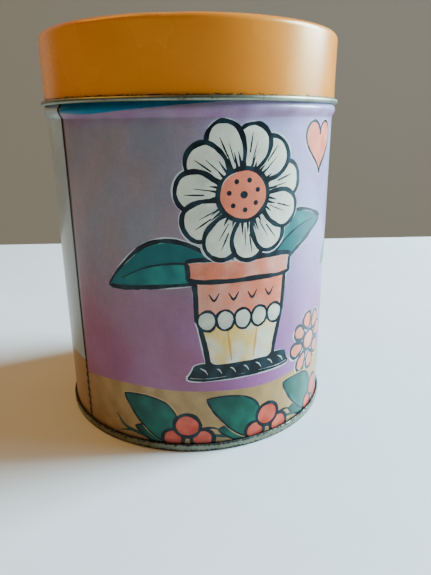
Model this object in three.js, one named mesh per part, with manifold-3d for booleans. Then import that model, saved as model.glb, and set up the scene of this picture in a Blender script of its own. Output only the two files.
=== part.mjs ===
// A round tinplate box with a slip lid: a rolled body with a folded side seam, a pressed bottom that is
// double-seamed on to it, and a drawn lid with a curled edge. Millimetres, +Z up, origin at the centre
// of the face that the box stands on. The front of the box faces -Y.

import * as THREE from 'three';
import { mergeVertices } from 'three/addons/utils/BufferGeometryUtils.js';
import Module from 'manifold-3d';

const wasm = await Module();
wasm.setup();

// Driving dimensions.
const HEIGHT = 132;            // from the foot of the bottom seam to the top of the lid
const BODY_R = 50;             // outside of the body wall
const SHEET = 0.27;            // tinplate thickness
const FACETS = 60;             // flat facets round the box, the same on every piece

// Bottom double seam.
const SEAM_HEIGHT = 2.6;
const SEAM_PLAY = 0.03;        // air between neighbouring layers of the seam
const HOOK_LAP = 1.2;          // how far the two hooks overlap
const FOOT_CORNER = 0.3;       // centreline radius where the foot turns up on either side

// Bottom panel.
const COUNTERSINK_Z = 4.3;     // highest line of the countersink ring
const COUNTERSINK_R = 0.9;     // centreline radius of that ring
const PANEL_Z = 3.2;           // centreline of the flat panel
const RING_RADII = [33, 41];   // expansion rings pressed into the panel
const RING_WIDTH = 3;
const RING_DEPTH = 0.7;

// Stop bead under the lid.
const BEAD_TOP_Z = 110.4;
const BEAD_HEIGHT = 3.8;
const BEAD_PROUD = 1;
const BEAD_BEND = 12;          // degrees of the bead's arc that the bend at either side takes

// Rolled-in rim at the mouth.
const RIM_TOP_Z = 131;
const RIM_R = 0.95;            // outside radius of the roll

// Lid.
const LID_PLAY = 0.18;         // air between the body's neck and the lid's skirt
const LID_CORNER = 2;          // outside radius of the top edge
const LID_EDGE_Z = 110.45;     // lowest line of the curl
const CURL_R = 0.75;           // outside radius of the curl
const PANEL_STEP = 0.8;        // how far the lid's panel lies below its edge
const PANEL_STEP_R = 45.5;     // outer end of the step
const PANEL_STEP_RUN = 1.2;    // how far inwards the step runs

// Folded side seam.
const LOCK_AZIMUTH = THREE.MathUtils.degToRad(-141.4);   // from +X, anticlockwise from above
const LOCK_WIDTH = 5;
const LOCK_LAYERS = 3;         // layers folded on to the inside of the wall
const LOCK_BOTTOM_Z = 6;
const LOCK_TOP_Z = 129.5;
const GROOVE_WIDTH = 0.5;      // where the sheet turns in on the outside
const GROOVE_DEPTH = 0.12;
const GROOVE_BOTTOM_Z = 3.9;
const GROOVE_TOP_Z = 105.6;

const HALF = SHEET / 2;
const BODY_WALL = BODY_R - HALF;                         // centreline radius of the wall
const LID_WALL = BODY_R + LID_PLAY + HALF;               // centreline radius of the lid's skirt
const SEAM_PITCH = SHEET + SEAM_PLAY;                    // from one seam layer to the next

// Points along an arc of a profile, from angle a to angle b in degrees, both ends included.
// Angles run anticlockwise from the outward direction.
function arc(r, z, radius, a, b, steps) {
  return Array.from({ length: steps + 1 }, (_, i) => {
    const t = THREE.MathUtils.degToRad(a + (b - a) * i / steps);
    return new THREE.Vector2(r + radius * Math.cos(t), z + radius * Math.sin(t));
  });
}

const at = (r, z) => [new THREE.Vector2(r, z)];

// Runs of points joined end to end, without a point that repeats the one before it.
function path(...runs) {
  return runs.flat().filter((p, i, all) => i === 0 || p.distanceTo(all[i - 1]) > 1e-6);
}

// A line's points moved sideways by d, to the right of its direction, with mitred corners.
function offset(line, d) {
  const normals = line.slice(1).map((p, i) => {
    const along = p.clone().sub(line[i]).normalize();
    return new THREE.Vector2(along.y, -along.x);
  });
  return line.map((p, i) => {
    const before = normals[Math.max(i - 1, 0)];
    const after = normals[Math.min(i, normals.length - 1)];
    const mitre = before.clone().add(after).divideScalar(1 + before.dot(after));
    return p.clone().addScaledVector(mitre, d);
  });
}

// The closed outline between a line moved to its right and the same line moved to its left.
function band(line, toRight, toLeft) {
  const outline = [...offset(line, toRight), ...offset(line, -toLeft).reverse()];
  return [...outline, outline[0].clone()];
}

// The closed outline of a sheet that follows a centreline.
const sheet = (centreline) => band(centreline, HALF, HALF);

// A closed outline turned round the Z axis, as a manifold solid.
function turned(outline) {
  const lathe = new THREE.LatheGeometry(outline, FACETS);
  lathe.rotateX(Math.PI / 2);
  lathe.deleteAttribute('normal');
  lathe.deleteAttribute('uv');
  return solidOf(mergeVertices(lathe, 1e-4));
}

function solidOf(geometry) {
  const index = geometry.index.array;
  const triangles = [];
  for (let i = 0; i < index.length; i += 3) {
    const [a, b, c] = index.slice(i, i + 3);
    if (a !== b && b !== c && c !== a) triangles.push(a, b, c);
  }
  return new wasm.Manifold(new wasm.Mesh({
    numProp: 3,
    vertProperties: new Float32Array(geometry.attributes.position.array),
    triVerts: new Uint32Array(triangles),
  }));
}

// A box-shaped cutter that stands on the side seam's line: width along the wall, and the
// radial and vertical spans that it covers.
function atLock(width, innerR, outerR, bottomZ, topZ) {
  const block = new THREE.BoxGeometry(outerR - innerR, width, topZ - bottomZ);
  block.translate((outerR + innerR) / 2, 0, (topZ + bottomZ) / 2);
  block.rotateZ(LOCK_AZIMUTH);
  block.deleteAttribute('normal');
  block.deleteAttribute('uv');
  return solidOf(mergeVertices(block, 1e-4));
}

function part(name, solid, color, roughness, metalness) {
  const { vertProperties, triVerts } = solid.getMesh();
  const geometry = new THREE.BufferGeometry();
  geometry.setAttribute('position', new THREE.BufferAttribute(vertProperties, 3));
  geometry.setIndex(new THREE.BufferAttribute(triVerts, 1));
  const mesh = new THREE.Mesh(geometry, new THREE.MeshStandardMaterial({ color, roughness, metalness }));
  mesh.name = name;
  return mesh;
}

// The double seam. The foot of the body turns out and up into a hook, and the edge of the bottom
// turns in and down behind that hook. Each turn's centreline radius is one layer's pitch.
const BODY_HOOK = BODY_WALL + 2 * SEAM_PITCH;            // centreline radius of the body's hook
const END_HOOK = BODY_WALL + SEAM_PITCH;                 // centreline radius of the bottom's hook
const SEAM_WALL = BODY_WALL + 3 * SEAM_PITCH;            // centreline radius of the seam's outside
const CHUCK_WALL = BODY_WALL - SEAM_PITCH;               // centreline radius of the bottom's own wall
const BODY_TURN_Z = HALF + 2 * SEAM_PITCH;
const END_TURN_Z = SEAM_HEIGHT - HALF - SEAM_PITCH;
const BODY_HOOK_TIP_Z = (BODY_TURN_Z + END_TURN_Z + HOOK_LAP) / 2;
const END_HOOK_TIP_Z = BODY_HOOK_TIP_Z - HOOK_LAP;

// The stop bead is one arc, with a bend on either side that carries it back into the wall.
function bead() {
  const bend = BEAD_PROUD / 2;
  const half = (BEAD_HEIGHT - bend) / 2;
  const radius = (half * half + BEAD_PROUD * BEAD_PROUD) / (2 * BEAD_PROUD);
  const middle = BEAD_TOP_Z - BEAD_HEIGHT / 2;
  const reach = THREE.MathUtils.radToDeg(Math.asin(half / radius)) - BEAD_BEND;
  return [
    ...at(BODY_WALL, middle - BEAD_HEIGHT / 2 - bend),
    ...arc(BODY_WALL + BEAD_PROUD - radius, middle, radius, -reach, reach, 6),
    ...at(BODY_WALL, middle + BEAD_HEIGHT / 2 + bend),
  ];
}

// The upright part of the body, from the seam to where the rim starts to roll in.
function wall() {
  return path(at(BODY_WALL, BODY_TURN_Z), bead(), at(BODY_WALL, RIM_TOP_Z - RIM_R));
}

function bodyShell() {
  const shell = turned(sheet(path(
    at(BODY_HOOK, BODY_HOOK_TIP_Z),
    arc(END_HOOK, BODY_TURN_Z, SEAM_PITCH, 0, -180, 4),
    wall(),
    arc(BODY_R - RIM_R, RIM_TOP_Z - RIM_R, RIM_R - HALF, 0, 300, 9),
  )));
  const lock = turned(band(wall(), 0, LOCK_LAYERS * SHEET + HALF))
    .intersect(atLock(LOCK_WIDTH, BODY_R / 2, BODY_R * 2, LOCK_BOTTOM_Z, LOCK_TOP_Z));
  const facetR = BODY_R * Math.cos(Math.PI / FACETS);
  const groove = atLock(GROOVE_WIDTH, facetR - GROOVE_DEPTH, BODY_R * 2, GROOVE_BOTTOM_Z, GROOVE_TOP_Z);
  return shell.add(lock).subtract(groove);
}

// One ring pressed up into the bottom panel.
function ring(radius) {
  return [
    ...at(radius - RING_WIDTH / 2, PANEL_Z),
    ...at(radius - RING_WIDTH / 4, PANEL_Z + RING_DEPTH),
    ...at(radius + RING_WIDTH / 4, PANEL_Z + RING_DEPTH),
    ...at(radius + RING_WIDTH / 2, PANEL_Z),
  ];
}

function bottomEnd() {
  const sinkR = CHUCK_WALL - COUNTERSINK_R;
  const sinkZ = COUNTERSINK_Z - HALF - COUNTERSINK_R;
  return turned(sheet(path(
    at(0, PANEL_Z),
    ...RING_RADII.map(ring),
    at(sinkR - 2 * COUNTERSINK_R, PANEL_Z),
    arc(sinkR, sinkZ, COUNTERSINK_R, 150, 0, 4),
    arc(CHUCK_WALL + FOOT_CORNER, HALF + FOOT_CORNER, FOOT_CORNER, 180, 270, 3),
    arc(SEAM_WALL - FOOT_CORNER, HALF + FOOT_CORNER, FOOT_CORNER, 270, 360, 3),
    arc(BODY_HOOK, END_TURN_Z, SEAM_PITCH, 0, 180, 4),
    at(END_HOOK, END_HOOK_TIP_Z),
  )));
}

function lid() {
  const top = HEIGHT - HALF;
  const corner = LID_CORNER - HALF;
  const curl = CURL_R - HALF;
  return turned(sheet(path(
    at(0, top - PANEL_STEP),
    at(PANEL_STEP_R - PANEL_STEP_RUN, top - PANEL_STEP),
    at(PANEL_STEP_R, top),
    arc(LID_WALL - corner, top - corner, corner, 90, 0, 5),
    arc(LID_WALL + curl, LID_EDGE_Z + CURL_R, curl, 180, 460, 10),
  )));
}

const box = new THREE.Group();
box.add(
  part('body_shell', bodyShell(), 0xa39bb5, 0.4, 0.1),
  part('bottom_end', bottomEnd(), 0xb4b8b0, 0.4, 0.9),
  part('lid', lid(), 0xe0913a, 0.25, 0.1),
);

export default box;
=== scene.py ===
"""The looks of a round tinplate box with a slip lid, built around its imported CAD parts.

The shapes and the printed picture are laid out in millimetres, and every mesh is made in metres.
The box stands on z = 0 and faces -Y. On the wall, u is the distance round it from the middle of
the front, to the right, and v is the height up the sheet. Both are in millimetres.
"""
import math

import bpy
import numpy as np
from mathutils import Matrix, Vector
from mathutils.geometry import delaunay_2d_cdt


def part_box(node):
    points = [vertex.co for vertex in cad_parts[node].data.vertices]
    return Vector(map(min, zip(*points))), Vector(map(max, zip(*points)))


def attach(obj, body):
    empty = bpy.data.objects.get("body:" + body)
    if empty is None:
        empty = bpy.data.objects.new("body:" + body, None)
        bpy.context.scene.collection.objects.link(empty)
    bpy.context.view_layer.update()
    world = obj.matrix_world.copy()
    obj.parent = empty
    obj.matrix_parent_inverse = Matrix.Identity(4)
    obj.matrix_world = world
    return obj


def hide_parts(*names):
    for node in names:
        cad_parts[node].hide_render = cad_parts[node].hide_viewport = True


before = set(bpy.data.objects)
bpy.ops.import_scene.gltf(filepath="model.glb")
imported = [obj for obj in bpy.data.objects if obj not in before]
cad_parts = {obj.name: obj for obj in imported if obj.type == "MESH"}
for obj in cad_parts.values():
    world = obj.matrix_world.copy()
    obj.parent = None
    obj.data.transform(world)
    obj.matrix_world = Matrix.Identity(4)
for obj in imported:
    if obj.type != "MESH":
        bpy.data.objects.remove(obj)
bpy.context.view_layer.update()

MM = 0.001
rng = np.random.default_rng(11)


def box_mm(node):
    low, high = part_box(node)
    return np.array(low) / MM, np.array(high) / MM


# ---------------------------------------------------------------- sizes, in millimetres
_, BODY_HIGH = box_mm("body_shell")
_, END_HIGH = box_mm("bottom_end")
LID_LOW, LID_HIGH = box_mm("lid")

SHEET = 0.27                                  # tinplate thickness
HALF = SHEET / 2
BEAD_PROUD = 1.0
BODY_R = round(BODY_HIGH[0] - BEAD_PROUD, 1)  # outside of the body wall
BODY_WALL = BODY_R - HALF                     # centreline radius of the body wall
RIM_TOP_Z = BODY_HIGH[2]
RIM_R = 0.95                                  # outside radius of the rolled-in rim
TOP_Z = LID_HIGH[2]

# The stop bead: a swelling that is steeper above its peak than below it.
BEAD_PEAK_Z = 108.7
BEAD_BELOW = 2.6
BEAD_ABOVE = 2.1

# The double seam at the foot. Its layers lie one pitch apart.
PITCH = SHEET + 0.03
SEAM_HEIGHT = 2.6
HOOK_LAP = 1.2
FOOT_CORNER = 0.3
BODY_TURN_Z = HALF + 2 * PITCH
END_TURN_Z = SEAM_HEIGHT - HALF - PITCH
BODY_TIP_Z = (BODY_TURN_Z + END_TURN_Z + HOOK_LAP) / 2

# The bottom's panel.
PANEL_Z = 3.2
SINK_R = 0.9
RING_RADII = (33, 41)
RING_WIDTH = 3
RING_DEPTH = 0.7

# The lid.
LID_PLAY = 0.18                               # air between the skirt and the neck
LID_WALL = BODY_WALL + LID_PLAY + SHEET       # centreline radius of the skirt
LID_CORNER = 2.0
CURL_R = 0.75
CURL_Z = LID_LOW[2] + CURL_R                  # centre of the curl
CURL_TOP_Z = CURL_Z + CURL_R                  # where the curl closes on the skirt
LID_STEP = 0.8
LID_STEP_R = 45.5
LID_STEP_RUN = 1.6

# The folded side seam, and the sheet that lies between its two ends.
SEAM_ANGLE = math.radians(-141.4)             # from +X, anticlockwise from above
GIRTH = 2 * math.pi * BODY_R
SEAM_U = (SEAM_ANGLE + math.pi / 2) * BODY_R  # where the seam lies on the wall
LOCK_WIDTH = 5.0
LOCK_DEPTH = 3 * SHEET
GROOVE_HALF = 0.85                            # half the width of its dark outside groove
GROOVE_DEPTH = 0.2

# The printed stretch of the wall, from behind the bottom seam to inside the lid.
PRINT_LOW = 1.6
PRINT_TOP = 113.5
PRINT_EDGE = 0.5                              # what the picture keeps clear of the stretch's ends
GRID_U = 1.5                                  # spacing of the wall's own grid round the box
OUTLINE_STEP = 0.85                           # spacing of points along a drawn outline
PROFILE_STEP = 3.0                            # longest step along a profile


# ---------------------------------------------------------------- profiles
def arc(r, z, radius, a, b, step=9.0):
    """Points of a profile along an arc, from a to b degrees, anticlockwise from outward."""
    t = np.radians(np.linspace(a, b, max(2, int(abs(b - a) / step) + 1)))
    return np.stack([r + radius * np.cos(t), z + radius * np.sin(t)], 1)


def swell(peak, below, above, count=26):
    """Heights and shares of a smooth swelling that rises from 0 to 1 and falls back to 0."""
    x = np.linspace(-1, 1, count)
    z = peak + np.where(x < 0, x * below, x * above)
    return z, (1 - x**2) ** 2


def joined(*runs):
    """Runs of profile points as one line, with points added where two lie far apart."""
    points = np.concatenate([np.atleast_2d(run) for run in runs])
    line = [points[0]]
    for p in points[1:]:
        gap = np.linalg.norm(p - line[-1])
        if gap > 1e-4:
            count = max(1, math.ceil(gap / PROFILE_STEP))
            start = line[-1]
            line += [start + (p - start) * i / count for i in range(1, count + 1)]
    return np.array(line)


def distances(line):
    """How far along the line each of its points lies."""
    return np.concatenate([[0], np.cumsum(np.linalg.norm(np.diff(line, axis=0), axis=1))])


def body_line():
    z, share = swell(BEAD_PEAK_Z, BEAD_BELOW, BEAD_ABOVE)
    bead = np.stack([BODY_WALL + BEAD_PROUD * share, z], 1)
    return joined(
        (BODY_WALL + 2 * PITCH, BODY_TIP_Z),
        arc(BODY_WALL + PITCH, BODY_TURN_Z, PITCH, 0, -180, 20),
        (BODY_WALL, PRINT_LOW),
        bead,
        (BODY_WALL, PRINT_TOP),
        arc(BODY_R - RIM_R, RIM_TOP_Z - RIM_R, RIM_R - HALF, 0, 310, 12),
    )


def ring_line(radius):
    r, share = swell(radius, RING_WIDTH / 2, RING_WIDTH / 2, 13)
    return np.stack([r, PANEL_Z + RING_DEPTH * share], 1)


def end_line():
    chuck = BODY_WALL - PITCH
    outside = BODY_WALL + 3 * PITCH
    sink = chuck - SINK_R
    sink_z = END_HIGH[2] - HALF - SINK_R
    return joined(
        (0, PANEL_Z),
        *[ring_line(r) for r in RING_RADII],
        (sink - 2 * SINK_R, PANEL_Z),
        arc(sink, sink_z, SINK_R, 150, 0),
        arc(chuck + FOOT_CORNER, HALF + FOOT_CORNER, FOOT_CORNER, 180, 270, 18),
        arc(outside - FOOT_CORNER, HALF + FOOT_CORNER, FOOT_CORNER, 270, 360, 18),
        arc(BODY_WALL + 2 * PITCH, END_TURN_Z, PITCH, 0, 180, 15),
        (BODY_WALL + PITCH, BODY_TIP_Z - HOOK_LAP),
    )


def lid_line():
    top = TOP_Z - HALF
    corner = LID_CORNER - HALF
    curl = CURL_R - HALF
    x = np.linspace(0, 1, 9)
    step = np.stack([LID_STEP_R - LID_STEP_RUN * (1 - x),
                     top - LID_STEP * (1 - x**2 * (3 - 2 * x))], 1)
    return joined(
        (0, top - LID_STEP),
        step,
        arc(LID_WALL - corner, top - corner, corner, 90, 0, 7),
        arc(LID_WALL + curl, CURL_Z, curl, 180, 460, 12),
    )


# ---------------------------------------------------------------- sheets
class Sheet:
    """A sheet that follows a profile line and is turned round the Z axis. Side +1 lies to the right
    of the line's direction and side -1 to its left. bend(angle, tau) moves both sides along the
    line's right normal, and extra[side](angle, tau) raises one side out of the sheet."""

    def __init__(self, line, bend, extra=None):
        self.line, self.bend, self.extra = line, bend, extra or {}
        steps = np.diff(line, axis=0)
        self.tau = distances(line)
        along = np.zeros_like(line)
        along[:-1] += steps
        along[1:] += steps
        self.along = along / np.linalg.norm(along, axis=1, keepdims=True)

    def height(self, angle, tau, side):
        h = side * self.bend(angle, tau)
        if side in self.extra:
            h = h + self.extra[side](angle, tau)
        return h

    def at(self, angle, tau, side):
        """Points and outward normals, in millimetres, for arrays of angles and of distances tau."""
        r, z, tr, tz = (np.interp(tau, self.tau, a) for a in (*self.line.T, *self.along.T))
        size = np.hypot(tr, tz)
        tr, tz = tr / size, tz / size
        h = self.height(angle, tau, side)
        reach = HALF + h
        cos, sin, flat = np.cos(angle), np.sin(angle), np.zeros_like(angle)
        out = np.stack([cos, sin, flat], -1)
        round_ = np.stack([-sin, cos, flat], -1)
        up = np.stack([flat, flat, flat + 1], -1)
        normal = side * (tz[..., None] * out - tr[..., None] * up)
        forward = tr[..., None] * out + tz[..., None] * up
        small_a, small_t = 2e-4, 0.01
        slope_a = (self.height(angle + small_a, tau, side)
                   - self.height(angle - small_a, tau, side)) / (2 * small_a)
        slope_t = (self.height(angle, tau + small_t, side)
                   - self.height(angle, tau - small_t, side)) / (2 * small_t)
        slope_a = slope_a / np.maximum(r, 0.5)
        point = r[..., None] * out + z[..., None] * up + reach[..., None] * normal
        turned = normal - slope_a[..., None] * round_ - slope_t[..., None] * forward
        return point, turned / np.linalg.norm(turned, axis=-1, keepdims=True)


def seam_distance(angle):
    """Signed distance round the wall from the side seam, in millimetres."""
    turn = (angle - SEAM_ANGLE + math.pi) % (2 * math.pi) - math.pi
    return turn * BODY_R


def smooth(x):
    x = np.clip(x, 0, 1)
    return x * x * (3 - 2 * x)


def bump(angle, tau, at_angle, at_tau, wide, tall):
    """A soft round bump of height 1, wide and tall in millimetres at the wall's radius."""
    turn = (angle - at_angle + math.pi) % (2 * math.pi) - math.pi
    return np.exp(-((turn * BODY_R / wide) ** 2) - ((tau - at_tau) / tall) ** 2)


# ---------------------------------------------------------------- mesh making
class Builder:
    """Collects points, normals and faces in millimetres, and makes one Blender mesh of them."""

    def __init__(self):
        self.points, self.normals, self.faces, self.slots, self.inks = [], [], [], [], []
        self.count = 0

    def add(self, points, normals):
        first = self.count
        self.points.append(points.reshape(-1, 3))
        self.normals.append(normals.reshape(-1, 3))
        self.count += len(self.points[-1])
        return first

    def face(self, corners, slot, inks=None):
        self.faces.append(corners)
        self.slots.append(slot)
        self.inks.append(inks if inks is not None else [(0.5, 0.5, 0.5)] * len(corners))

    def grid(self, rows, slots):
        """Faces between rows of point numbers, each a closed ring, the first row inside or below."""
        for (low, high), slot in zip(zip(rows, rows[1:]), slots):
            for i in range(max(len(low), len(high))):
                j = (i + 1) % max(len(low), len(high))
                if len(low) == 1:
                    self.face([low[0], high[j], high[i]], slot)
                elif len(high) == 1:
                    self.face([low[i], low[j], high[0]], slot)
                else:
                    self.face([low[i], low[j], high[j], high[i]], slot)

    def mesh(self, name, materials):
        mesh = bpy.data.meshes.new(name)
        mesh.from_pydata(np.concatenate(self.points) * MM, [], self.faces)
        for material in materials:
            mesh.materials.append(material)
        mesh.polygons.foreach_set("material_index", self.slots)
        mesh.polygons.foreach_set("use_smooth", [True] * len(self.faces))
        ink = mesh.attributes.new("ink", "FLOAT_VECTOR", "CORNER")
        ink.data.foreach_set("vector", np.array([c for f in self.inks for c in f], float).ravel())
        mesh.normals_split_custom_set_from_vertices(np.concatenate(self.normals))
        piece = bpy.data.objects.new(name, mesh)
        bpy.context.scene.collection.objects.link(piece)
        return piece


def sheet_rows(builder, sheet, angles, taus, side):
    """The point numbers of one side of a sheet, a ring for each tau, or one point on the axis."""
    rows = []
    for tau in taus:
        if np.interp(tau, sheet.tau, sheet.line[:, 0]) < 1e-6:
            point, normal = sheet.at(np.zeros(1), np.full(1, tau), side)
        else:
            point, normal = sheet.at(angles, np.full(len(angles), tau), side)
        first = builder.add(point, normal)
        rows.append(list(range(first, first + len(point))))
    return rows


def turned_sheet(name, sheet, columns, materials, slot_of):
    """A whole sheet whose line starts on the axis. slot_of(side, tau) gives the material of the
    faces around tau on that side."""
    builder = Builder()
    angles = SEAM_ANGLE + np.arange(columns) * 2 * math.pi / columns
    right = sheet_rows(builder, sheet, angles, sheet.tau, 1)
    left = sheet_rows(builder, sheet, angles, sheet.tau, -1)
    middles = (sheet.tau[1:] + sheet.tau[:-1]) / 2
    builder.grid(right, [slot_of(1, t) for t in middles])
    builder.grid(left[::-1], [slot_of(-1, t) for t in middles[::-1]])
    builder.grid([right[-1], left[-1]], [slot_of(-1, sheet.tau[-1])])
    return builder.mesh(name, materials)


# ---------------------------------------------------------------- inks of the printed picture
def ink(red, green, blue):
    """A linear colour from sRGB values of 0 to 255."""
    c = np.array([red, green, blue]) / 255
    return np.where(c <= 0.04045, c / 12.92, ((c + 0.055) / 1.055) ** 2.4)


PAPER = ink(196, 188, 184)
LINE = ink(12, 20, 24)
LIGHT_LINE = ink(26, 44, 50)
# MIST, HEATHER, PLUM and DUSK are painted-shade copies of the ground inks LILAC, ICE, PURPLE and
# ROSE.
MIST = ink(138, 118, 118)
HEATHER = ink(129, 120, 124)
LILAC = ink(160, 142, 172)
ICE = ink(154, 150, 180)
PLUM = ink(144, 84, 106)
DUSK = ink(148, 96, 124)
PURPLE = ink(152, 84, 132)
ROSE = ink(154, 104, 152)
MAUVE_PRINT_AND_SHADE = ink(126, 80, 112)
SEAM_GREY = ink(150, 154, 150)
GROOVE_DIRT = ink(44, 20, 12)
OCHRE = ink(172, 134, 84)
LIGHT_OCHRE = ink(188, 154, 102)
DARK_OCHRE = ink(150, 112, 70)
TEAL = ink(32, 124, 112)
DEEP_TEAL = ink(18, 88, 86)
SEA = ink(6, 92, 116)
GREEN = ink(24, 98, 78)
DARK_GREEN = ink(18, 66, 54)
LIGHT_GREEN = ink(110, 170, 120)
CORAL = ink(224, 116, 84)
PINK = ink(226, 150, 126)
BERRY = ink(190, 58, 40)
LIGHT_BERRY = ink(208, 92, 70)
CREAM = ink(216, 208, 184)
SHADE = ink(186, 180, 168)
YELLOW = ink(232, 184, 96)
GOLD = ink(214, 146, 62)


def mottle(places, size, seed):
    """A smooth random pattern between about -1 and 1 whose features have that size."""
    dice = np.random.default_rng(seed)
    total = np.zeros(len(places))
    for _ in range(9):
        turn, wave = dice.uniform(0, 2 * math.pi), 2 * math.pi / size * dice.uniform(0.5, 1.6)
        total += np.sin(places @ (wave * np.array([math.cos(turn), math.sin(turn)]))
                        + dice.uniform(0, 2 * math.pi))
    return np.clip(total / 3, -1, 1)


def blend(share, a, b):
    return a * (1 - share[:, None]) + b * share[:, None]


class Layer:
    """One printed area: inside outline, outside hole. It turns from colour into blush with the
    distance from a centre, up to reach, and unevenly, as watered ink does."""

    def __init__(self, outline, colour, hole=None, blush=None, centre=(0, 0), reach=1.0):
        self.loops = [clipped(outline)] + ([clipped(hole)] if hole is not None else [])
        self.colour, self.blush, self.centre, self.reach = colour, blush, centre, reach

    def holds(self, places):
        found = winding(self.loops[0], places) > 0
        if len(self.loops) > 1:
            found &= winding(self.loops[1], places) <= 0
        return found

    def colours(self, places):
        if self.colour is LINE:
            return blend(smooth(mottle(places, 5, 3) * 0.8 + 0.25), LINE, LIGHT_LINE)
        tone = 1 + 0.07 * mottle(places, 7, 5)[:, None]
        if self.blush is None:
            return self.colour * tone
        away = np.linalg.norm(places - np.array(self.centre), axis=1) / self.reach
        return blend(smooth(away + 0.3 * mottle(places, 6, 8)), self.colour, self.blush) * tone


layers = []


def anticlockwise(loop):
    x, y = loop.T
    return loop if np.sum(x * np.roll(y, -1) - y * np.roll(x, -1)) >= 0 else loop[::-1]


def clipped(outline):
    """An outline kept inside the printed stretch, turning anticlockwise. Its long edges are split,
    because each edge becomes a straight chord of the round wall."""
    low = (SEAM_U + PRINT_EDGE, PRINT_LOW + PRINT_EDGE)
    high = (SEAM_U + GIRTH - PRINT_EDGE, PRINT_TOP - PRINT_EDGE)
    loop = np.clip(outline, low, high)
    loop = loop[np.linalg.norm(loop - np.roll(loop, 1, 0), axis=1) > 1e-3]
    if len(loop) < 3:
        return loop
    runs = []
    for a, b in zip(loop, np.roll(loop, -1, 0)):
        count = max(1, math.ceil(np.linalg.norm(b - a) / GRID_U))
        runs.append(a + (b - a) * (np.arange(count) / count)[:, None])
    return anticlockwise(np.concatenate(runs))


def winding(loop, places):
    """How many times the loop goes round each place."""
    count = np.zeros(len(places), int)
    if len(loop) < 3:
        return count
    near = np.all((places >= loop.min(0)) & (places <= loop.max(0)), axis=1)
    p = places[near][:, None]
    a, b = loop[None], np.roll(loop, -1, 0)[None]
    left = (b - a)[..., 0] * (p - a)[..., 1] - (p - a)[..., 0] * (b - a)[..., 1]
    rises = (a[..., 1] <= p[..., 1]) & (b[..., 1] > p[..., 1]) & (left > 0)
    falls = (a[..., 1] > p[..., 1]) & (b[..., 1] <= p[..., 1]) & (left < 0)
    count[near] = rises.sum(1) - falls.sum(1)
    return count


# ---------------------------------------------------------------- drawing with a brush
def curve(points, closed=True):
    """A smooth curve through the points, sampled about every OUTLINE_STEP."""
    p = np.asarray(points, float)
    if not closed:
        p = np.concatenate([2 * p[:1] - p[1:2], p, 2 * p[-1:] - p[-2:-1]])
    count = len(p) if closed else len(p) - 3
    first = 0 if closed else 1
    runs = []
    for i in range(first, first + count):
        a, b, c, d = (p[(i + k) % len(p)] for k in (-1, 0, 1, 2))
        n = max(2, math.ceil(np.linalg.norm(c - b) / OUTLINE_STEP))
        t = (np.arange(n) / n)[:, None]
        runs.append(0.5 * (2 * b + (c - a) * t + (2 * a - 5 * b + 4 * c - d) * t**2
                           + (3 * b - a - 3 * c + d) * t**3))
    if not closed:
        runs.append(p[-2:-1])
    return np.concatenate(runs)


def normals_of(line, closed=True):
    ahead = np.roll(line, -1, 0) - np.roll(line, 1, 0)
    if not closed:
        ahead[0], ahead[-1] = line[1] - line[0], line[-1] - line[-2]
    ahead /= np.maximum(np.linalg.norm(ahead, axis=1, keepdims=True), 1e-9)
    return np.stack([ahead[:, 1], -ahead[:, 0]], 1)


def grown(loop, by):
    """An anticlockwise loop moved outwards by a distance, or by one for each point."""
    return loop + normals_of(loop) * np.broadcast_to(by, len(loop))[:, None]


def sway(count, amount):
    """A slow random variation about 0 along a closed line of that many points."""
    t = np.linspace(0, 2 * math.pi, count, endpoint=False)
    waves = [np.sin(k * t + rng.uniform(0, 2 * math.pi)) / k**0.5 for k in (2, 3, 5, 7)]
    return amount * sum(waves) / 2


def rough(count, amount):
    """Short random steps in the edge of a brush line."""
    steps = rng.uniform(-1, 1, count)
    return amount * (steps + np.roll(steps, 1)) / 1.4


def halo(loop, line, colour=PAPER):
    """The pale edge that stays where the background stops short of a shape."""
    loop = anticlockwise(np.asarray(loop, float))
    drift = rng.uniform(-0.25, 0.25, 2)
    reach = line / 2 + 0.16 + sway(len(loop), 0.2)
    layers.append(Layer(grown(loop, reach) + drift, colour))


def brushed(loop, fill, line, blush=None, centre=(0, 0), reach=1.0, hand=0.18, edge=PAPER,
            slip=0.3):
    """A filled shape with a brush line round it. The colour lies a little off the line, and the
    paper shows beside it here and there. Edge is the colour of its halo, if it has one, and slip
    is how far the colour may lie off."""
    loop = anticlockwise(np.asarray(loop, float))
    loop = grown(loop, sway(len(loop), hand))
    half = line / 2 * (1 + sway(len(loop), 0.3)) + rough(len(loop), 0.07)
    drift = rng.uniform(-slip, slip, 2)
    if edge is not None:
        halo(loop, line, edge)
    layers.append(Layer(loop, PAPER))
    layers.append(Layer(grown(loop, -line / 2 + 0.12) + drift, fill, None, blush, centre, reach))
    layers.append(Layer(grown(loop, half), LINE, hole=grown(loop, -half)))


def wash(loop, colour):
    """A shape in one colour without a line."""
    layers.append(Layer(anticlockwise(np.asarray(loop, float)), colour))


def stroke(points, widths, pen=LINE):
    """One open brush stroke through the points, with its width given along it."""
    line = curve(points, closed=False)
    share = np.linspace(0, 1, len(line))
    half = np.interp(share, np.linspace(0, 1, len(widths)), widths) / 2
    half = half * (1 + rough(len(line), 0.1))
    side = normals_of(line, closed=False) * half[:, None]
    layers.append(Layer(anticlockwise(np.concatenate([line + side, (line - side)[::-1]])), pen))


def oval(centre, across, high):
    count = max(14, math.ceil(math.pi * (across + high) / OUTLINE_STEP / 1.6))
    t = np.linspace(0, 2 * math.pi, count, endpoint=False)
    return np.stack([centre[0] + across * np.cos(t), centre[1] + high * np.sin(t)], 1)


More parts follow.
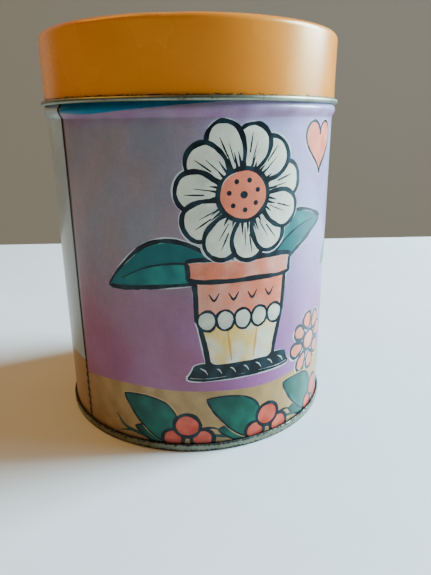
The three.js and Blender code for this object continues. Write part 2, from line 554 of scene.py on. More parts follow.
def petal(centre, degrees, inner, outer, width):
    """A petal that points away from the centre and is widest near its round tip."""
    count = max(18, math.ceil(2 * (outer - inner + width) / OUTLINE_STEP))
    t = np.linspace(0, 2 * math.pi, count, endpoint=False)
    share = (1 - np.cos(t)) / 2
    along = inner + (outer - inner) * share
    aside = width / 2 * np.sin(t) * (0.72 + 0.42 * share)
    a = math.radians(degrees)
    return np.stack([centre[0] + along * math.cos(a) - aside * math.sin(a),
                     centre[1] + along * math.sin(a) + aside * math.cos(a)], 1)


def leaf(base, tip, width, bow):
    """A pointed leaf from base to tip, bowed to its left by bow."""
    base, tip = np.array(base, float), np.array(tip, float)
    axis = tip - base
    length = np.linalg.norm(axis)
    left = np.array([-axis[1], axis[0]]) / length
    count = max(8, math.ceil(length / OUTLINE_STEP))
    t = np.linspace(0, 1, count)
    middle = base + t[:, None] * axis + (bow * np.sin(math.pi * t))[:, None] * left
    half = width / 2 * np.sin(math.pi * t**0.85) ** 0.8
    side = half[:, None] * left
    return np.concatenate([middle - side, (middle + side)[::-1][1:-1]]), middle


def painted_leaf(base, tip, width, bow, colour, dark, line, rib=True, edge=PAPER):
    """A leaf that is darker along one side of its rib."""
    outline, middle = leaf(base, tip, width, bow)
    brushed(outline, colour, line, dark, base, np.linalg.norm(np.subtract(tip, base)), hand=0.12,
            edge=edge, slip=0.1)
    if rib:
        side = outline[: len(middle)]
        wash(np.concatenate([side + (middle - side) * 0.16, middle[::-1]]), dark)
        picks = middle[[int(len(middle) * k) for k in (0.08, 0.35, 0.6, 0.85)]]
        stroke(picks, (1.0, 0.7, 0.25))


def heart(centre, width, height):
    """A plain heart from two round lobes and two bowed sides."""
    t = np.linspace(0, 2 * math.pi, max(40, math.ceil(3.2 * width / OUTLINE_STEP)), endpoint=False)
    x = np.sin(t) ** 3
    y = (13 * np.cos(t) - 5 * np.cos(2 * t) - 2 * np.cos(3 * t) - np.cos(4 * t)) / 17 + 0.12
    return np.stack([centre[0] + x * width / 2, centre[1] + y * height * 0.55], 1)


def blossom(centre, petals, inner, outer, width, colour, blush, disc, disc_r, line, start,
            stamens=0):
    """Petals round a disc, each a little different. With stamens, thin strokes spread from the
    disc and two more lie on each petal."""
    loops = []
    for i in range(petals):
        long, wide = rng.uniform(0.94, 1.05), rng.uniform(0.92, 1.06)
        degrees = start + (i + rng.uniform(-0.07, 0.07)) * 360 / petals
        loops.append((petal(centre, degrees, inner, outer * long, width * wide), degrees))
    for loop, _ in loops:
        halo(loop, line)
    for loop, degrees in loops:
        brushed(loop, blush, line, colour, centre, outer * 0.8, edge=None)
        for share, size in ((0.62, 0.5), (0.5, 0.36)) if stamens else ():
            a = math.radians(degrees) + (share - 0.56)
            stroke([(centre[0] + outer * k * math.cos(a), centre[1] + outer * k * math.sin(a))
                    for k in (share + 0.24, share + 0.1, share - 0.04)], (0.15, size, size * 0.8))
    for i in range(stamens):
        a = math.radians(start) + 2 * math.pi * (i + rng.uniform(-0.3, 0.3)) / stamens
        reach = disc_r + rng.uniform(1.6, 4.6)
        bend = rng.uniform(-0.08, 0.08)
        stroke([(centre[0] + k * math.cos(a + bend * t), centre[1] + k * math.sin(a + bend * t))
                for k, t in ((disc_r * 0.9, 0), ((disc_r + reach) / 2, 0.5), (reach, 1))],
               (1.0, 0.7, 0.15))
    brushed(oval(centre, disc_r, disc_r * 0.94), disc, line, CORAL, centre, disc_r * 1.6,
            edge=None)


def rounded(points, keep=0.22):
    """A closed outline with each corner of the given polygon drawn round."""
    p = np.asarray(points, float)
    ahead, behind = np.roll(p, -1, 0), np.roll(p, 1, 0)
    soft = np.stack([p + (behind - p) * keep, p + (behind - p) * keep / 3,
                     p + (ahead - p) * keep / 3, p + (ahead - p) * keep], 1)
    return curve(soft.reshape(-1, 2))


# ---------------------------------------------------------------- the printed picture
def potted_flower(u, bloom, bloom_blush, disc, pot, pot_blush, foot_fill, leaves, leaves_dark):
    """A large blossom in a footed pot, with a broad leaf to either side."""
    saucer = rounded([(u - 18, 26.4), (u + 18.5, 26.8), (u + 16, 32.0), (u - 15, 31.7)], 0.3)
    foot = rounded([(u - 11, 31), (u + 11, 31), (u + 14.6, 48), (u - 14.6, 48)])
    belly = rounded([(u - 14.5, 46), (u + 14.5, 46), (u + 15.5, 61), (u - 15.5, 61)], 0.16)
    rim = rounded([(u - 17, 59.5), (u + 17, 59.2), (u + 17.5, 66), (u - 17.5, 66.4)], 0.3)
    for shape in (saucer, foot, belly, rim):
        halo(shape, 1.4)
    stroke([(u, 60), (u - 1.2, 68), (u + 0.4, 76)], (3.2, 2.4, 2.4), GREEN)
    painted_leaf((u - 6, 63), (u - 43, 57), 14, -5, leaves, leaves_dark, line=1.4)
    painted_leaf((u + 7, 62), (u + 35, 75), 12.5, 4.5, leaves, leaves_dark, line=1.4)
    brushed(saucer, LINE, 1.0, edge=None)
    for k in range(7):
        stroke([(u - 14 + 4.6 * k, 30.6), (u - 12.4 + 4.6 * k, 29.6), (u - 11.6 + 4.6 * k, 28.2)],
               (0.15, 0.5, 0.15), SHADE)
    brushed(foot, foot_fill, 1.5, CREAM, (u - 4, 44), 20, edge=None)
    for k in (-1, 1):
        stroke([(u + 5.2 * k, 44), (u + 4.4 * k, 38), (u + 3.8 * k, 32.6)], (0.2, 0.8, 0.4), GOLD)
    brushed(belly, pot, 1.5, pot_blush, (u + 8, 56), 26, edge=None)
    for k in range(-2, 3):
        brushed(oval((u + 5.8 * k, 46.6), 2.9, 3.4), CREAM, 0.9, SHADE, (u + 5.8 * k, 47.5), 5,
                edge=None)
    for k in (-1.5, -0.5, 0.5, 1.5):
        stroke([(u + 6.2 * k - 1.6, 55.4), (u + 6.2 * k, 53.2), (u + 6.2 * k + 1.6, 55.6)],
               (0.3, 0.9, 0.3))
    brushed(rim, pot, 1.5, pot_blush, (u - 10, 64), 32, edge=None)
    blossom((u, 85), 11, 6.5, 20.5, 11.8, bloom, bloom_blush, disc, 8.0, 1.4, 12, stamens=34)
    for k in range(7):
        a = 2 * math.pi * k / 7 + 0.3
        wash(oval((u + 4.6 * math.cos(a), 85 + 4.4 * math.sin(a)), 0.75, 0.75), LINE)
    wash(oval((u, 85), 1.2, 1.1), LINE)


def daisy(u, v, radius, colour, blush, disc, start):
    """A small flower on a stem that grows from the ground."""
    stroke([(u + 1, 19.5), (u - 0.8, (v + 20) / 2), (u, v)], (1.6, 1.3, 1.3), GREEN)
    painted_leaf((u, 20.5), (u + 9, 24.5), 4.2, 1.2, GREEN, DARK_GREEN, rib=False, line=0.7)
    blossom((u, v), 8, radius * 0.4, radius, radius * 0.5, colour, blush, disc, radius * 0.34,
            1.2, start)


def border(centres):
    """Broad leaves, berries in threes and small twigs along the ground band."""
    for u in centres:
        stroke([(u - 26, 10.4), (u - 22.5, 6.2), (u - 14, 4.2)], (0.4, 1.2, 1.5), DARK_GREEN)
        stroke([(u - 25, 4.0), (u - 20, 5.2), (u - 15, 4.4)], (0.3, 1.0, 1.3), DARK_GREEN)
        stroke([(u + 1, 7.5), (u + 7.5, 8.4), (u + 11.0, 7.2)], (1.3, 1.1, 0.4))
    for u in centres:
        painted_leaf((u - 9, 2.6), (u - 18.5, 7.4), 5.4, -1.2, GREEN, DARK_GREEN, rib=False,
                     line=0.7, edge=None)
        painted_leaf((u - 3.6, 2.6), (u - 22, 19.2), 12.5, -2.6, GREEN, DARK_GREEN, rib=False,
                     line=0.7, edge=LIGHT_OCHRE)
    for u in centres:
        for du, v, r in ((-5.2, 4.4, 3.6), (4.9, 4.2, 3.8), (-0.2, 9.4, 4.4)):
            brushed(oval((u + du, v), r, r * 0.98), LIGHT_BERRY, 1.3, BERRY, (u + du - 1, v + 1.4), 7,
                    hand=0.12, edge=None, slip=0.15)


def ground_edge(u):
    """The height of the ground band's uneven upper edge."""
    return 22.3 - 0.9 * np.sin(u / 11) + 0.3 * np.sin(u / 6.3) + 3.0 * smooth((u - 236) / 28)


def ground():
    u = np.arange(SEAM_U, SEAM_U + GIRTH + 1, GRID_U)
    top = np.stack([u, ground_edge(u)], 1)
    base = np.array([[SEAM_U + GIRTH, 0], [SEAM_U, 0]])
    layers.append(Layer(np.concatenate([top, base]), OCHRE, blush=DARK_OCHRE,
                        centre=(40, 18), reach=110))


def top_band():
    """A teal wedge under the lid beside the seam."""
    edge = curve([(SEAM_U, 108.2), (-32, 107.6), (-18, 108.6), (-5, 109.6), (8, 110.8),
                  (14, 112), (18, 114)], closed=False)
    layers.append(Layer(np.concatenate([edge, [[SEAM_U, 114]]]), SEA))


def picture():
    ground()
    top_band()
    pots = (
        (15.0, CREAM, SHADE, CORAL, CORAL, PINK, YELLOW, TEAL, DEEP_TEAL),
        (98.0, CORAL, PINK, YELLOW, YELLOW, GOLD, CORAL, LIGHT_GREEN, GREEN),
        (181.0, YELLOW, GOLD, BERRY, TEAL, LIGHT_GREEN, CREAM, GREEN, SEA),
    )
    for u, *colours in pots:
        potted_flower(u, *colours)
        daisy(u + 32, 30.5, 12.0, CORAL, CORAL, PINK, 10)
        brushed(heart((u + 32.5, 97.5), 18, 17), CORAL, 0.9, PINK, (u + 28, 100), 30)
    brushed(heart((240, 84), 16, 15), BERRY, 0.9, CORAL, (237, 88), 14)
    daisy(238, 44.0, 13.0, PINK, CREAM, YELLOW, 25)
    border(-3.5 + 28.6 * np.arange(9))


# ---------------------------------------------------------------- materials
class Nodes:
    """A short way to write a node material. A socket, a number or a colour can be an input."""

    def __init__(self, name, **shader):
        self.material = bpy.data.materials.new(name)
        self.material.use_nodes = True
        self.tree = self.material.node_tree
        self.shader = self.tree.nodes["Principled BSDF"]
        for socket, value in shader.items():
            self.shader.inputs[socket.replace("_", " ")].default_value = value
        self.place = self.tree.nodes.new("ShaderNodeTexCoord").outputs["Object"]

    def put(self, socket, value):
        if isinstance(value, bpy.types.NodeSocket):
            self.tree.links.new(value, socket)
        elif hasattr(value, "__len__") and len(value) == 3 and socket.type == "RGBA":
            socket.default_value = (*value, 1)
        else:
            socket.default_value = value

    def math(self, operation, a, b):
        node = self.tree.nodes.new("ShaderNodeMath")
        node.operation = operation
        self.put(node.inputs[0], a)
        self.put(node.inputs[1], b)
        return node.outputs[0]

    def noise(self, size, detail, rough, squash=(1, 1, 1), shift=0.0):
        """Noise whose features are about size millimetres across."""
        mapping = self.tree.nodes.new("ShaderNodeMapping")
        mapping.inputs["Location"].default_value = (shift, shift, shift)
        mapping.inputs["Scale"].default_value = squash
        self.put(mapping.inputs["Vector"], self.place)
        node = self.tree.nodes.new("ShaderNodeTexNoise")
        node.inputs["Scale"].default_value = 1 / (size * MM)
        node.inputs["Detail"].default_value = detail
        node.inputs["Roughness"].default_value = rough
        self.put(node.inputs["Vector"], mapping.outputs[0])
        return node.outputs["Fac"]

    def span(self, value, low, high, to_low=0.0, to_high=1.0, smooth_step=True):
        """value turned from the range low to high into to_low to to_high."""
        node = self.tree.nodes.new("ShaderNodeMapRange")
        node.interpolation_type = "SMOOTHSTEP" if smooth_step else "LINEAR"
        for socket, v in zip(node.inputs, (value, low, high, to_low, to_high)):
            self.put(socket, v)
        return node.outputs[0]

    def mix(self, share, a, b, mode="MIX"):
        node = self.tree.nodes.new("ShaderNodeMix")
        node.data_type, node.blend_type = "RGBA", mode
        self.put(node.inputs[0], share)
        self.put(node.inputs[6], a)
        self.put(node.inputs[7], b)
        return node.outputs[2]

    def height(self):
        """The height above the ground in millimetres, in the piece's own frame."""
        node = self.tree.nodes.new("ShaderNodeSeparateXYZ")
        self.put(node.inputs[0], self.place)
        return self.math("DIVIDE", node.outputs["Z"], MM)

    def attribute(self, name):
        node = self.tree.nodes.new("ShaderNodeAttribute")
        node.attribute_name = name
        return node.outputs["Vector"]

    def bumps(self, *heights):
        """Adds up (height socket, depth in millimetres) pairs as one bump on the shader."""
        normal = None
        for value, depth in heights:
            node = self.tree.nodes.new("ShaderNodeBump")
            node.inputs["Strength"].default_value = 1.0
            node.inputs["Distance"].default_value = depth * MM
            self.put(node.inputs["Height"], value)
            if normal is not None:
                self.put(node.inputs["Normal"], normal)
            normal = node.outputs[0]
        self.put(self.shader.inputs["Normal"], normal)


BARE = ink(128, 131, 111)
CLEAN = ink(186, 186, 170)
STAIN = ink(94, 91, 72)
RUST = ink(70, 46, 34)
# The colour of dirt, and of painted shade in crevices and at the foot.
DIRT_AND_SHADE = ink(26, 22, 18)
ORANGE = ink(220, 127, 36)
DEEP_ORANGE = ink(214, 120, 32)
WORN = ink(66, 50, 44)
DIRT_ROUGHNESS = (0.85, 0.85, 0.85)


def tin_surface(n, tin, rust_low, rust_high):
    """Old bare tin, cloudy grey, stained and with rust specks: its colour, where the rust lies,
    its roughness and its fine grain."""
    cloud = n.noise(14.0, 4.0, 0.6)
    fine = n.noise(0.9, 3.0, 0.6)
    colour = n.mix(n.span(cloud, 0.4, 0.75), tin, n.mix(n.span(fine, 0.3, 0.8), STAIN, tin))
    rust = n.math("MULTIPLY", n.span(n.noise(1.1, 4.0, 0.65, shift=5), rust_low, rust_high),
                  n.span(n.noise(7.0, 2.0, 0.5, shift=9), 0.42, 0.6))
    rough = n.math("ADD", n.span(cloud, 0.3, 0.7, 0.28, 0.40), n.math("MULTIPLY", fine, 0.1))
    return colour, rust, rough, fine


def bare_tin(name, tin, metal, rust_low=0.66, rust_high=0.72, dirt_and_shade_from=None):
    """Bare tin. Above the height given, ragged dirt and painted crevice shade cover it, and at the
    very foot a ragged painted contact shadow darkens it.
    """
    n = Nodes(name)
    colour, rust, rough, fine = tin_surface(n, tin, rust_low, rust_high)
    dirt_and_shade_mask = 0.0
    if dirt_and_shade_from is not None:
        ragged = n.span(n.noise(0.9, 4.0, 0.75, (1, 1, 1.2), 13), 0.46, 0.8, 0.0, 1.6, False)
        # Above the height: dirt and painted shade in the crevice on the seam's top. Below about 0.3
        # mm: a painted contact shadow at the foot.
        above = n.span(n.math("ADD", n.height(), ragged), dirt_and_shade_from + 0.1, dirt_and_shade_from + 0.2)
        below = n.span(n.math("SUBTRACT", n.height(), ragged), 0.4, 0.28)
        dirt_and_shade_mask = n.math("MAXIMUM", above, below)
    n.put(n.shader.inputs["Base Color"], n.mix(dirt_and_shade_mask, n.mix(rust, colour, RUST), DIRT_AND_SHADE))
    spoilt = n.math("MAXIMUM", rust, dirt_and_shade_mask)
    n.put(n.shader.inputs["Roughness"], n.mix(spoilt, rough, DIRT_ROUGHNESS))
    n.put(n.shader.inputs["Metallic"], n.math("MULTIPLY", n.math("SUBTRACT", 1.0, spoilt), metal))
    n.bumps((fine, 0.012), (spoilt, 0.04))
    return n.material


def printed_tin():
    """Watered ink under varnish, worn through in specks. Above the bottom seam it is darkened by a
    thin dark line that is part dirt and part painted crevice shade, and by a fainter painted shade
    that fades upwards.
    """
    n = Nodes("printed_tin", Coat_Weight=0.3, Coat_Roughness=0.1, Coat_IOR=1.34,
              Specular_IOR_Level=0.12)
    inks = n.attribute("ink")
    wash_ = n.noise(11.0, 4.0, 0.6, (1, 1, 0.55))
    grain = n.noise(0.55, 3.0, 0.7)
    blot = n.noise(2.6, 3.0, 0.6, shift=4)
    tone = n.math("ADD", n.span(wash_, 0.3, 0.7, 0.93, 1.05), n.span(grain, 0.3, 0.7, -0.055, 0.055))
    tone = n.math("ADD", tone, n.span(blot, 0.35, 0.7, -0.03, 0.03))
    toned = n.mix(1.0, inks, tone, "MULTIPLY")
    height = n.height()
    ragged = n.math("ADD", height, n.span(n.noise(1.5, 4.0, 0.7, shift=4), 0.4, 0.75, 0.5, 0.0))
    # A thin dark line just above the seam: part dirt, part painted shade in the crevice.
    dirt_and_shade_mask = n.span(ragged, SEAM_HEIGHT + 0.5, SEAM_HEIGHT + 0.35)
    # Painted shade: a darkening of up to 0.3 near the seam that fades out about 5 mm above the foot.
    shade = n.math("MULTIPLY", n.span(ragged, SEAM_HEIGHT + 2.4, SEAM_HEIGHT + 0.5), 0.3)
    worn = n.math("MULTIPLY", n.span(n.noise(1.0, 3.0, 0.6, shift=7), 0.70, 0.73),
                  n.span(n.noise(16.0, 2.0, 0.5, shift=2), 0.54, 0.64))
    colour = n.mix(n.math("MAXIMUM", dirt_and_shade_mask, shade), toned, DIRT_AND_SHADE)
    colour = n.mix(worn, colour, WORN)
    n.put(n.shader.inputs["Base Color"], colour)
    spoilt = n.math("MULTIPLY", n.math("MAXIMUM", worn, dirt_and_shade_mask), 0.4)
    n.put(n.shader.inputs["Roughness"], n.math("ADD", n.span(wash_, 0.3, 0.7, 0.30, 0.38), spoilt))
    n.bumps((n.noise(3.2, 2.0, 0.5, shift=6), 0.02), (grain, 0.005))
    return n.material


def lacquered_tin():
    """Orange lacquer on tin, ragged and dirty where it ends above the lid's curl."""
    n = Nodes("lacquered_tin", Specular_Tint=(1.0, 0.70, 0.10, 1), Coat_Weight=0.06,
              Coat_Roughness=0.06, Coat_IOR=1.4, Specular_IOR_Level=0.62)
    height = n.height()
    wash_ = n.noise(22.0, 2.0, 0.5)
    grain = n.noise(0.6, 3.0, 0.65)
    orange = n.mix(n.span(wash_, 0.3, 0.7), DEEP_ORANGE, ORANGE)
    orange = n.mix(1.0, orange, n.span(grain, 0.3, 0.7, 0.98, 1.02), "MULTIPLY")
    ragged = n.span(n.noise(1.8, 4.0, 0.72, (1, 1, 2.2), 3), 0.4, 0.75, 0.0, 1.0, False)
    above = n.math("SUBTRACT", height, ragged)
    lacquer = n.span(above, CURL_TOP_Z - 0.22, CURL_TOP_Z - 0.16)
    dashes = n.span(n.noise(2.2, 4.0, 0.7, (1, 1, 2.5), 8), 0.42, 0.52)
    grime = n.math("MULTIPLY", n.span(above, CURL_TOP_Z + 0.18, CURL_TOP_Z - 0.12), dashes)
    speck = n.math("MULTIPLY", n.span(n.noise(0.8, 3.0, 0.6, shift=1), 0.72, 0.75),
                   n.span(n.noise(12.0, 2.0, 0.5, shift=6), 0.54, 0.64))
    colour, rust, rough, fine = tin_surface(n, BARE, 0.5, 0.56)
    orange = n.mix(n.math("MAXIMUM", grime, speck), orange, DIRT_AND_SHADE)
    metal = n.mix(n.math("MAXIMUM", rust, dashes), colour, DIRT_AND_SHADE)
    n.put(n.shader.inputs["Base Color"], n.mix(lacquer, metal, orange))
    shine = n.math("ADD", n.span(wash_, 0.3, 0.7, 0.24, 0.29), n.math("MULTIPLY", grime, 0.4))
    n.put(n.shader.inputs["Roughness"], n.mix(lacquer, rough, shine))
    bare = n.math("MULTIPLY", n.math("SUBTRACT", 1.0, lacquer), n.math("SUBTRACT", 1.0, dashes))
    n.put(n.shader.inputs["Metallic"], bare)
    n.bumps((n.noise(5.0, 2.0, 0.5, shift=6), 0.012), (lacquer, 0.03), (fine, 0.002))
    return n.material


# ---------------------------------------------------------------- the three pieces
def body_bend(angle, tau):
    """The wall is not quite round, and has a few shallow dents."""
    wave = 0.045 * np.cos(3 * angle + 0.7) * np.sin(tau / 34) + 0.03 * np.cos(5 * angle + tau / 28)
    dents = (
        (-1.02, 41.0, 7.0, 9.0, -0.16),
        (-2.05, 78.0, 9.0, 12.0, -0.12),
        (0.6, 60.0, 10.0, 8.0, -0.2),
        (2.4, 30.0, 8.0, 14.0, -0.18),
    )
    fade = smooth((tau - 5) / 12) * smooth((104 - tau) / 12)
    return fade * (wave + sum(d * bump(angle, tau, a, t, w, h) for a, t, w, h, d in dents))


def body_sheet():
    line = body_line()
    wall_low = np.flatnonzero(line[:, 1] >= PRINT_LOW - 1e-6)
    wall_low = wall_low[wall_low > np.argmin(line[:, 1])][0]
    start = distances(line)[wall_low]

    def groove(angle, tau):
        v = tau - start + PRINT_LOW
        ends = smooth((v - 3) / 1.5) * smooth((PRINT_TOP - v) / 2)
        return -GROOVE_DEPTH * np.exp(-(seam_distance(angle) / GROOVE_HALF * 1.3) ** 2) * ends

    def lock(angle, tau):
        v = tau - start + PRINT_LOW
        ends = smooth((v - 6) / 1.0) * smooth((RIM_TOP_Z - 1 - v) / 1.5)
        across = smooth((LOCK_WIDTH / 2 - np.abs(seam_distance(angle))) / 0.3)
        return LOCK_DEPTH * across * ends

    return Sheet(line, lambda a, t: body_bend(a, t - start), {1: groove, -1: lock}), wall_low, start


def body_columns():
    """Distances from the seam, close together beside it and even round the rest of the wall."""
    near = [0, 0.28, 0.56, GROOVE_HALF, 1.1, 1.4, 1.8, 2.2, 2.35, 2.5, 2.8]
    inner = np.arange(near[-1] + GRID_U, GIRTH - near[-1] - GRID_U / 2, GRID_U)
    return np.concatenate([near, inner, [GIRTH - d for d in near[:0:-1]]])


def body_piece():
    sheet, wall_low, start = body_sheet()
    columns = body_columns()
    angles = SEAM_ANGLE + columns / BODY_R
    builder = Builder()
    top_tau = start + PRINT_TOP - PRINT_LOW
    wall_top = int(np.argmin(np.abs(sheet.tau - top_tau)))
    foot = sheet_rows(builder, sheet, angles, sheet.tau[:wall_low + 1], 1)
    neck = sheet_rows(builder, sheet, angles, sheet.tau[wall_top:], 1)
    inside = sheet_rows(builder, sheet, angles, sheet.tau, -1)
    builder.grid(foot, [1] * len(foot))
    builder.grid(neck, [1] * len(neck))
    builder.grid(inside[::-1], [1] * len(inside))
    builder.grid([neck[-1], inside[-1]], [1])
    builder.grid([inside[0], foot[0]], [1])
    printed_wall(builder, sheet, columns, sheet.tau[wall_low:wall_top + 1], foot[-1], neck[0], start)
    return builder.mesh("printed_body", [printed_tin(), bare_tin("body_bare_tin", CLEAN, 0.5)])


def printed_wall(builder, sheet, columns, taus, low_row, high_row, start):
    """The printed stretch of the wall, cut along every outline of the picture. Its lowest and
    highest rows use the points of the rows next to it, and its last column those of its first."""
    columns = np.append(columns, GIRTH)
    rows, cols = len(taus), len(columns)
    heights = taus - start + PRINT_LOW
    places = [(SEAM_U + s, v) for v in heights for s in columns]
    edges = [(i, i + 1) for row in (0, rows - 1) for i in range(row * cols, row * cols + cols - 1)]
    edges += [(r * cols + c, (r + 1) * cols + c) for r in range(rows - 1) for c in (0, cols - 1)]
    for layer in layers:
        for loop in layer.loops:
            if len(loop) > 2:
                first = len(places)
                places += [tuple(p) for p in loop]
                edges += [(first + i, first + (i + 1) % len(loop)) for i in range(len(loop))]
    found, _, triangles, origins, _, _ = delaunay_2d_cdt(
        [Vector(p) for p in places], edges, [], 0, 1e-4)
    found = np.array([tuple(p) for p in found])
    number = np.full(len(found), -1)
    for i, sources in enumerate(origins):
        grid = [k for k in sources if k < rows * cols]
        if grid:
            row, col = divmod(grid[0], cols)
            if row == 0:
                number[i] = low_row[col % (cols - 1)]
            elif row == rows - 1:
                number[i] = high_row[col % (cols - 1)]
            elif col == cols - 1:
                number[i] = -2 - row          # a stand-in until its row's first column has one
    free = np.flatnonzero(number == -1)
    angles = SEAM_ANGLE + (found[free, 0] - SEAM_U) / BODY_R
    points, normals = sheet.at(angles, found[free, 1] - PRINT_LOW + start, 1)
    first = builder.add(points, normals)
    number[free] = first + np.arange(len(free))
    left = {}
    for i, sources in enumerate(origins):
        for k in sources:
            if k < rows * cols and k % cols == 0:
                left[k // cols] = number[i]
    for i in np.flatnonzero(number < 0):
        number[i] = left[-2 - number[i]]
    corners = np.array(triangles)
    colours = face_inks(found, corners)
    for triangle, inks in zip(corners, colours):
        builder.face([int(number[k]) for k in triangle], 0, inks)


def face_inks(found, corners):
    """The ink at each corner of each triangle: the last layer that holds the triangle wins."""
    middles = found[corners].mean(1)
    spots = found[corners].reshape(-1, 2)
    u, v = spots.T
    cool = np.clip(smooth((v - 34) / 44) + 0.12 * mottle(spots, 30, 21), 0, 1)
    # Painted light and shade: twice round the wall the ground turns from cool, lighter inks (LILAC,
    # ICE, PURPLE, ROSE) for the lit side into warm, darker ones (MIST, HEATHER, PLUM, DUSK) for the
    # shaded side, the shaded side lying left of the front and the lit side right of it.
    painted_shade_side = smooth(0.5 - 0.9 * np.sin(4 * math.pi * (u - 5) / GIRTH))
    drift = smooth(0.5 + 0.6 * mottle(spots * (1, 0.6), 17, 22))
    sky = blend(painted_shade_side, blend(drift, LILAC, ICE), blend(drift, MIST, HEATHER))
    drift = smooth(0.35 + 0.3 * mottle(spots, 22, 23))
    dusk = blend(painted_shade_side, blend(drift, PURPLE, ROSE), blend(drift, PLUM, DUSK))
    blank = smooth((u - (SEAM_U + GIRTH - 40)) / 14)
    # A mauve band at the foot of the bead and up under the lid: part printed colour, part painted
    # shade under the bead and the lid.
    mauve_print_and_shade = smooth((v - 105.2) / 1.6) * smooth((111.5 - v) / 4) * (0.7 + 0.2 * mottle(spots, 9, 24))
    wall = blend(mauve_print_and_shade, blend(cool, dusk, sky), MAUVE_PRINT_AND_SHADE)
    colours = blend(blank, wall, SEAM_GREY[None]).reshape(-1, 3, 3)
    for layer in layers:
        inside = layer.holds(middles)
        if inside.any():
            colours[inside] = layer.colours(found[corners[inside]].reshape(-1, 2)).reshape(-1, 3, 3)
    from_seam = np.minimum(middles[:, 0] - SEAM_U, SEAM_U + GIRTH - middles[:, 0])
    colours[from_seam < GROOVE_HALF] = GROOVE_DIRT
    return colours


def end_piece():
    def bend(angle, tau):
        return 0.05 * np.cos(2 * angle + 1) * smooth(tau / 20) * smooth((46 - tau) / 6)

    sheet = Sheet(end_line(), bend)
    # The bottom's tin carries dirt and painted crevice shade on the seam's top, and a painted contact
    # shadow at its foot.
    tin = bare_tin("bottom_bare_tin", BARE, 0.9, 0.6, 0.68, SEAM_HEIGHT - 0.2)
    return turned_sheet("seamed_bottom", sheet, 240, [tin, bare_tin("bottom_inside_tin", CLEAN, 0.5)],
                        lambda side, tau: 1 if side == -1 and tau < BODY_R - 2 * SINK_R else 0)


def lid_piece():
    line = lid_line()
    lengths = distances(line)
    corner = lengths[np.argmax(line[:, 0] > LID_WALL - LID_CORNER)]
    skirt_low = lengths[np.flatnonzero(line[:, 1] > CURL_TOP_Z)[-1]]

    def bend(angle, tau):
        knock = 0.16 * bump(angle, tau, math.radians(-96), corner + 1.2, 4.0, 1.6)
        second = 0.2 * bump(angle, tau, math.radians(38), corner + 2.0, 6.0, 3.0)
        skirt = smooth((tau - corner) / 6) * smooth((skirt_low - tau) / 4)
        wave = 0.05 * np.cos(3 * angle + 1.1) + 0.03 * np.cos(7 * angle + tau / 9)
        sag = 0.25 * smooth(1 - tau / 40)
        return knock + second + skirt * wave + sag

    def slot_of(side, tau):
        if side == -1 and tau < skirt_low + 4:
            return 0
        return 1 if tau > skirt_low else 2

    materials = [lacquered_tin(), bare_tin("lid_curl_tin", BARE, 1.0, 0.6, 0.66),
                 bare_tin("lid_inside_tin", CLEAN, 0.5)]
    return turned_sheet("slip_lid", Sheet(line, bend), 256, materials, slot_of)


def place(piece, body, node):
    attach(piece, body)
    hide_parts(node)


# ---------------------------------------------------------------- camera, floor and light
def camera():
    """A short lens, a little under two diameters away and tilted down."""
    distance, height = 3.837 * BODY_R * MM, 2.102 * BODY_R * MM
    pitch, yaw, roll = math.radians(18.46), math.radians(2.47), math.radians(-0.53)
    data = bpy.data.cameras.new("camera")
    data.lens = 31.08
    data.sensor_width = 36
    data.clip_start = 0.01
    holder = bpy.data.objects.new("camera", data)
    bpy.context.scene.collection.objects.link(holder)
    turn = (Matrix.Rotation(-yaw, 3, "Z") @ Matrix.Rotation(math.pi / 2 - pitch, 3, "X")
            @ Matrix.Rotation(roll, 3, "Z"))
    holder.matrix_world = Matrix.Translation((0, -distance, height)) @ turn.to_4x4()
    bpy.context.scene.camera = holder


def staged(name, points, faces, material):
    mesh = bpy.data.meshes.new(name)
    mesh.from_pydata(points, [], faces)
    mesh.materials.append(material)
    thing = bpy.data.objects.new(name, mesh)
    bpy.context.scene.collection.objects.link(thing)


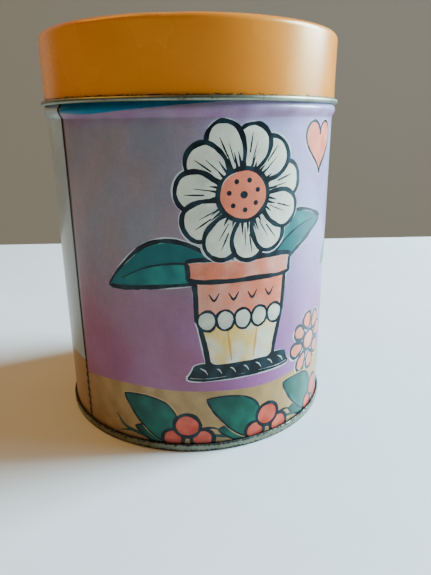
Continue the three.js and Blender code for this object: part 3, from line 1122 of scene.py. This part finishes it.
def stage():
    """A pale table top whose far edge lies a little way behind the box, and a plain wall."""
    table = Nodes("pale_floor", Roughness=0.5)
    table.put(table.shader.inputs["Base Color"],
              table.mix(table.span(table.noise(60, 4, 0.6), 0.3, 0.7), (0.62, 0.63, 0.62),
                        (0.66, 0.67, 0.66)))
    staged("floor", [(-2, -2, 0), (2, -2, 0), (2, 0.26, 0), (-2, 0.26, 0), (2, 0.26, -0.03),
                     (-2, 0.26, -0.03)], [(0, 1, 2, 3), (3, 2, 4, 5)], table.material)
    plaster = Nodes("plain_wall", Roughness=1.0, Emission_Color=(0.2, 0.17, 0.115, 1),
                    Emission_Strength=1.0, Base_Color=(0.01, 0.01, 0.01, 1))
    staged("backdrop", [(-2.5, 1.2, -1.2), (2.5, 1.2, -1.2), (2.5, 1.2, 2.5), (-2.5, 1.2, 2.5)],
           [(0, 1, 2, 3)], plaster.material)


LIGHT_AIM = (0, 0, 0.07)


def area_light(name, size, power, colour, azimuth, elevation, distance):
    """A rectangular light. Azimuth is anticlockwise from +X, and elevation is above the aim."""
    data = bpy.data.lights.new(name, "AREA")
    data.shape, data.size, data.size_y = "RECTANGLE", *size
    data.energy, data.color = power, colour
    a, e = math.radians(azimuth), math.radians(elevation)
    away = Vector((math.cos(a) * math.cos(e), math.sin(a) * math.cos(e), math.sin(e)))
    light = bpy.data.objects.new(name, data)
    bpy.context.scene.collection.objects.link(light)
    light.rotation_mode = "QUATERNION"
    light.rotation_quaternion = away.to_track_quat("Z", "Y")
    light.location = Vector(LIGHT_AIM) + away * distance


def lights():
    world = bpy.data.worlds.new("studio")
    bpy.context.scene.world = world
    world.use_nodes = True
    background = world.node_tree.nodes["Background"]
    background.inputs["Color"].default_value = (1.0, 0.84, 0.62, 1)
    background.inputs["Strength"].default_value = 0.08
    daylight = (0.56, 0.83, 1.0)
    area_light("window", (0.58, 0.78), 104, daylight, 12.5, 27, 1.3)
    area_light("window_frame", (0.94, 1.13), 22, daylight, 6.5, 21, 1.4)
    area_light("ceiling", (1.6, 1.6), 3, (1.0, 0.88, 0.70), 90, 88, 1.5)
    area_light("lamp", (0.7, 0.7), 9, (1.0, 0.50, 0.08), 165, 58, 1.4)
    area_light("wall", (0.9, 1.0), 0.8, (1.0, 0.86, 0.66), 133, 18, 1.5)


camera()
stage()
lights()
picture()
place(body_piece(), "tin", "body_shell")
place(end_piece(), "tin", "bottom_end")
place(lid_piece(), "lid", "lid")
